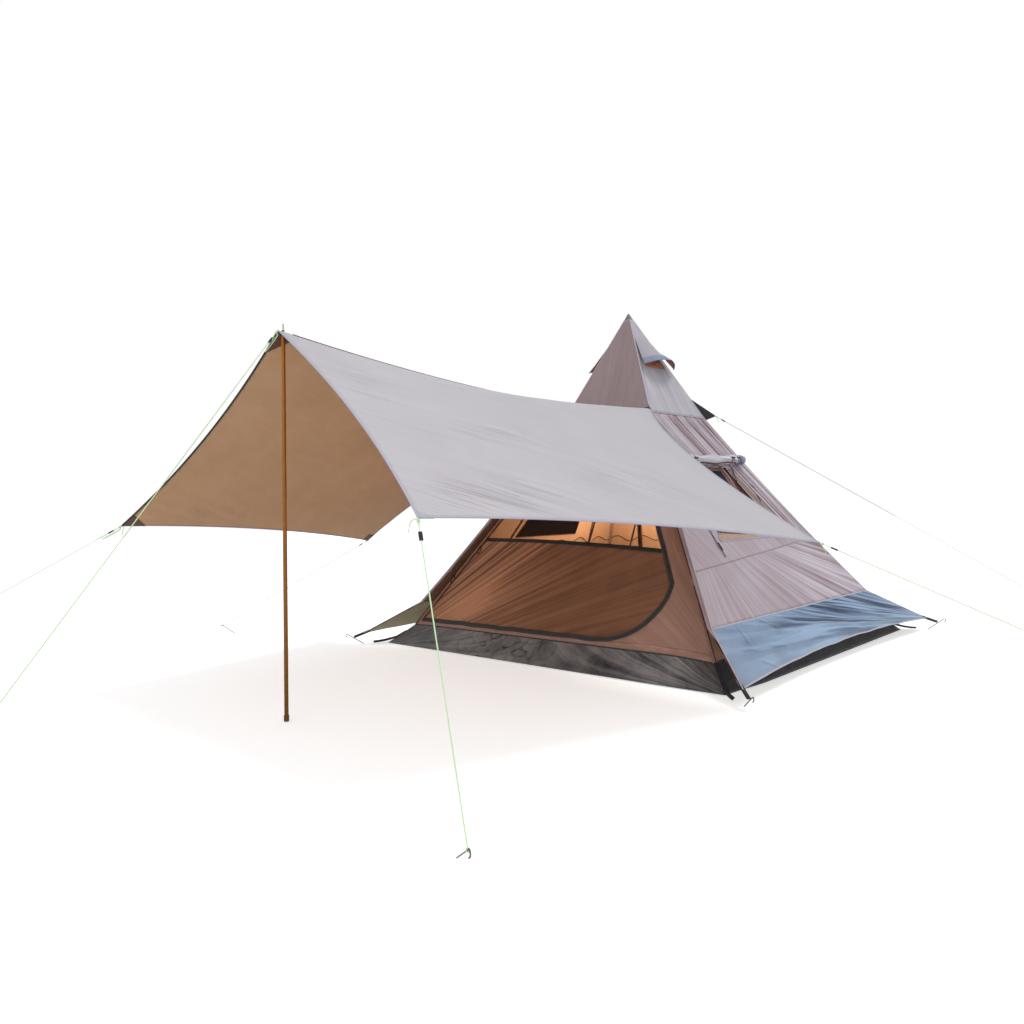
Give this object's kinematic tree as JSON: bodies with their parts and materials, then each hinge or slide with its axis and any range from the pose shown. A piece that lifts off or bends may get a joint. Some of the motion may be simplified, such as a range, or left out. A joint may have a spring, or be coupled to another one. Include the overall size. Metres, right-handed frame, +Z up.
{
  "type": "pyramid tent",
  "caption": "Double-skin pyramid tent on a centre pole, with an inner tent, skirted fly, hooded vents, side windows and a front awning on a pole and guy lines.",
  "frame": {"origin": "middle of the groundsheet's underside, on the centre pole's axis", "axes": "+Z up along the centre pole; -Y towards the awning and the door; +X to the right for someone who faces the door, which is the right-hand side in the picture"},
  "size_m": [6.2955, 7.408, 2.65],
  "materials": {
    "fly_cloth": "matte",
    "skirt_cloth": "matte",
    "flap_cloth": "matte",
    "inner_cloth": "matte",
    "door_net": "matte",
    "groundsheet": "coated",
    "awning_cloth": "matte",
    "bronze_tube": "satin",
    "peg_steel": "zinc",
    "guy_line": "matte",
    "black_plastic": "matte"
  },
  "bodies": {
    "tent": {"awning_left": "awning_cloth", "awning_right": "awning_cloth", "centre_pole_lower": "bronze_tube", "centre_pole_upper": "bronze_tube", "corner_peg_front_left": "peg_steel", "corner_peg_front_right": "peg_steel", "corner_peg_rear_left": "peg_steel", "corner_peg_rear_right": "peg_steel", "door_net": "door_net", "door_panel": "inner_cloth", "fly_cap_front": "fly_cloth", "fly_cap_left": "fly_cloth", "fly_cap_right": "fly_cloth", "fly_jamb_left": "fly_cloth", "fly_jamb_right": "fly_cloth", "fly_rear": "fly_cloth", "fly_skirt_left": "skirt_cloth", "fly_skirt_rear": "skirt_cloth", "fly_skirt_right": "skirt_cloth", "fly_wall_left": "fly_cloth", "fly_wall_right": "fly_cloth", "front_pole_lower": "bronze_tube", "front_pole_upper": "bronze_tube", "groundsheet": "groundsheet", "guy_line_front": "guy_line", "guy_line_front_left": "guy_line", "guy_line_front_right": "guy_line", "guy_line_rear_left": "guy_line", "guy_line_rear_right": "guy_line", "guy_line_side_left": "guy_line", "guy_line_side_right": "guy_line", "guy_peg_front": "peg_steel", "guy_peg_front_left": "peg_steel", "guy_peg_front_right": "peg_steel", "guy_peg_rear_left": "peg_steel", "guy_peg_rear_right": "peg_steel", "guy_peg_side_left": "peg_steel", "guy_peg_side_right": "peg_steel", "inner_wall_front": "inner_cloth", "inner_wall_left": "inner_cloth", "inner_wall_rear": "inner_cloth", "inner_wall_right": "inner_cloth", "tub_wall_front": "groundsheet", "tub_wall_left": "groundsheet", "tub_wall_rear": "groundsheet", "tub_wall_right": "groundsheet", "window_roll_left": "flap_cloth", "window_roll_right": "flap_cloth"},
    "runner_front": {"runner_front": "black_plastic"},
    "runner_front_left": {"runner_front_left": "black_plastic"},
    "runner_front_right": {"runner_front_right": "black_plastic"},
    "runner_rear_left": {"runner_rear_left": "black_plastic"},
    "runner_rear_right": {"runner_rear_right": "black_plastic"},
    "runner_side_left": {"runner_side_left": "black_plastic"},
    "runner_side_right": {"runner_side_right": "black_plastic"},
    "vent_hood_right": {"vent_hood_right": "fly_cloth"},
    "vent_prop_right": {"vent_prop_right": "black_plastic"},
    "vent_hood_left": {"vent_hood_left": "fly_cloth"},
    "vent_prop_left": {"vent_prop_left": "black_plastic"},
    "door_zip_slider": {"door_zip_slider": "black_plastic"}
  },
  "joints": [
    {"name": "runner_front_slide", "type": "slide", "parent": "tent", "child": "runner_front", "axis": [0, -0.5972, -0.8021], "range_m": [-0.033, 0.4]},
    {"name": "runner_front_left_slide", "type": "slide", "parent": "tent", "child": "runner_front_left", "axis": [-0.5707, -0.6687, -0.4767], "range_m": [-0.033, 0.4]},
    {"name": "runner_front_right_slide", "type": "slide", "parent": "tent", "child": "runner_front_right", "axis": [0.4306, -0.2282, -0.8732], "range_m": [-0.033, 0.4]},
    {"name": "runner_rear_left_slide", "type": "slide", "parent": "tent", "child": "runner_rear_left", "axis": [-0.5994, 0.6077, -0.5209], "range_m": [-0.033, 0.4]},
    {"name": "runner_rear_right_slide", "type": "slide", "parent": "tent", "child": "runner_rear_right", "axis": [0.5994, 0.6077, -0.5209], "range_m": [-0.033, 0.4]},
    {"name": "runner_side_left_slide", "type": "slide", "parent": "tent", "child": "runner_side_left", "axis": [-0.7593, -0.4575, -0.4629], "range_m": [-0.033, 0.4]},
    {"name": "runner_side_right_slide", "type": "slide", "parent": "tent", "child": "runner_side_right", "axis": [0.6951, 0.5712, -0.4366], "range_m": [-0.033, 0.4]},
    {"name": "vent_hood_right_hinge", "type": "hinge", "parent": "tent", "child": "vent_hood_right", "pos_m": [0.10719, 0, 2.4211], "axis": [0, -1, 0], "range_deg": [-6, 0]},
    {"name": "vent_prop_right_hinge", "type": "hinge", "parent": "vent_hood_right", "child": "vent_prop_right", "pos_m": [0.30558, 0, 2.23786], "axis": [0, -1, 0], "range_deg": [-60, 0]},
    {"name": "vent_hood_left_hinge", "type": "hinge", "parent": "tent", "child": "vent_hood_left", "pos_m": [-0.10719, 0, 2.4211], "axis": [0, 1, 0], "range_deg": [-6, 0]},
    {"name": "vent_prop_left_hinge", "type": "hinge", "parent": "vent_hood_left", "child": "vent_prop_left", "pos_m": [-0.30558, 0, 2.23786], "axis": [0, 1, 0], "range_deg": [-60, 0]},
    {"name": "door_zip_slide", "type": "slide", "parent": "tent", "child": "door_zip_slider", "axis": [-0.4494, 0.4614, 0.765], "range_m": [0, 1.209]}
  ],
  "couplings": [
    {"joint": "vent_prop_right_hinge", "follows": "vent_hood_right_hinge", "ratio": 10},
    {"joint": "vent_prop_left_hinge", "follows": "vent_hood_left_hinge", "ratio": 10}
  ]
}
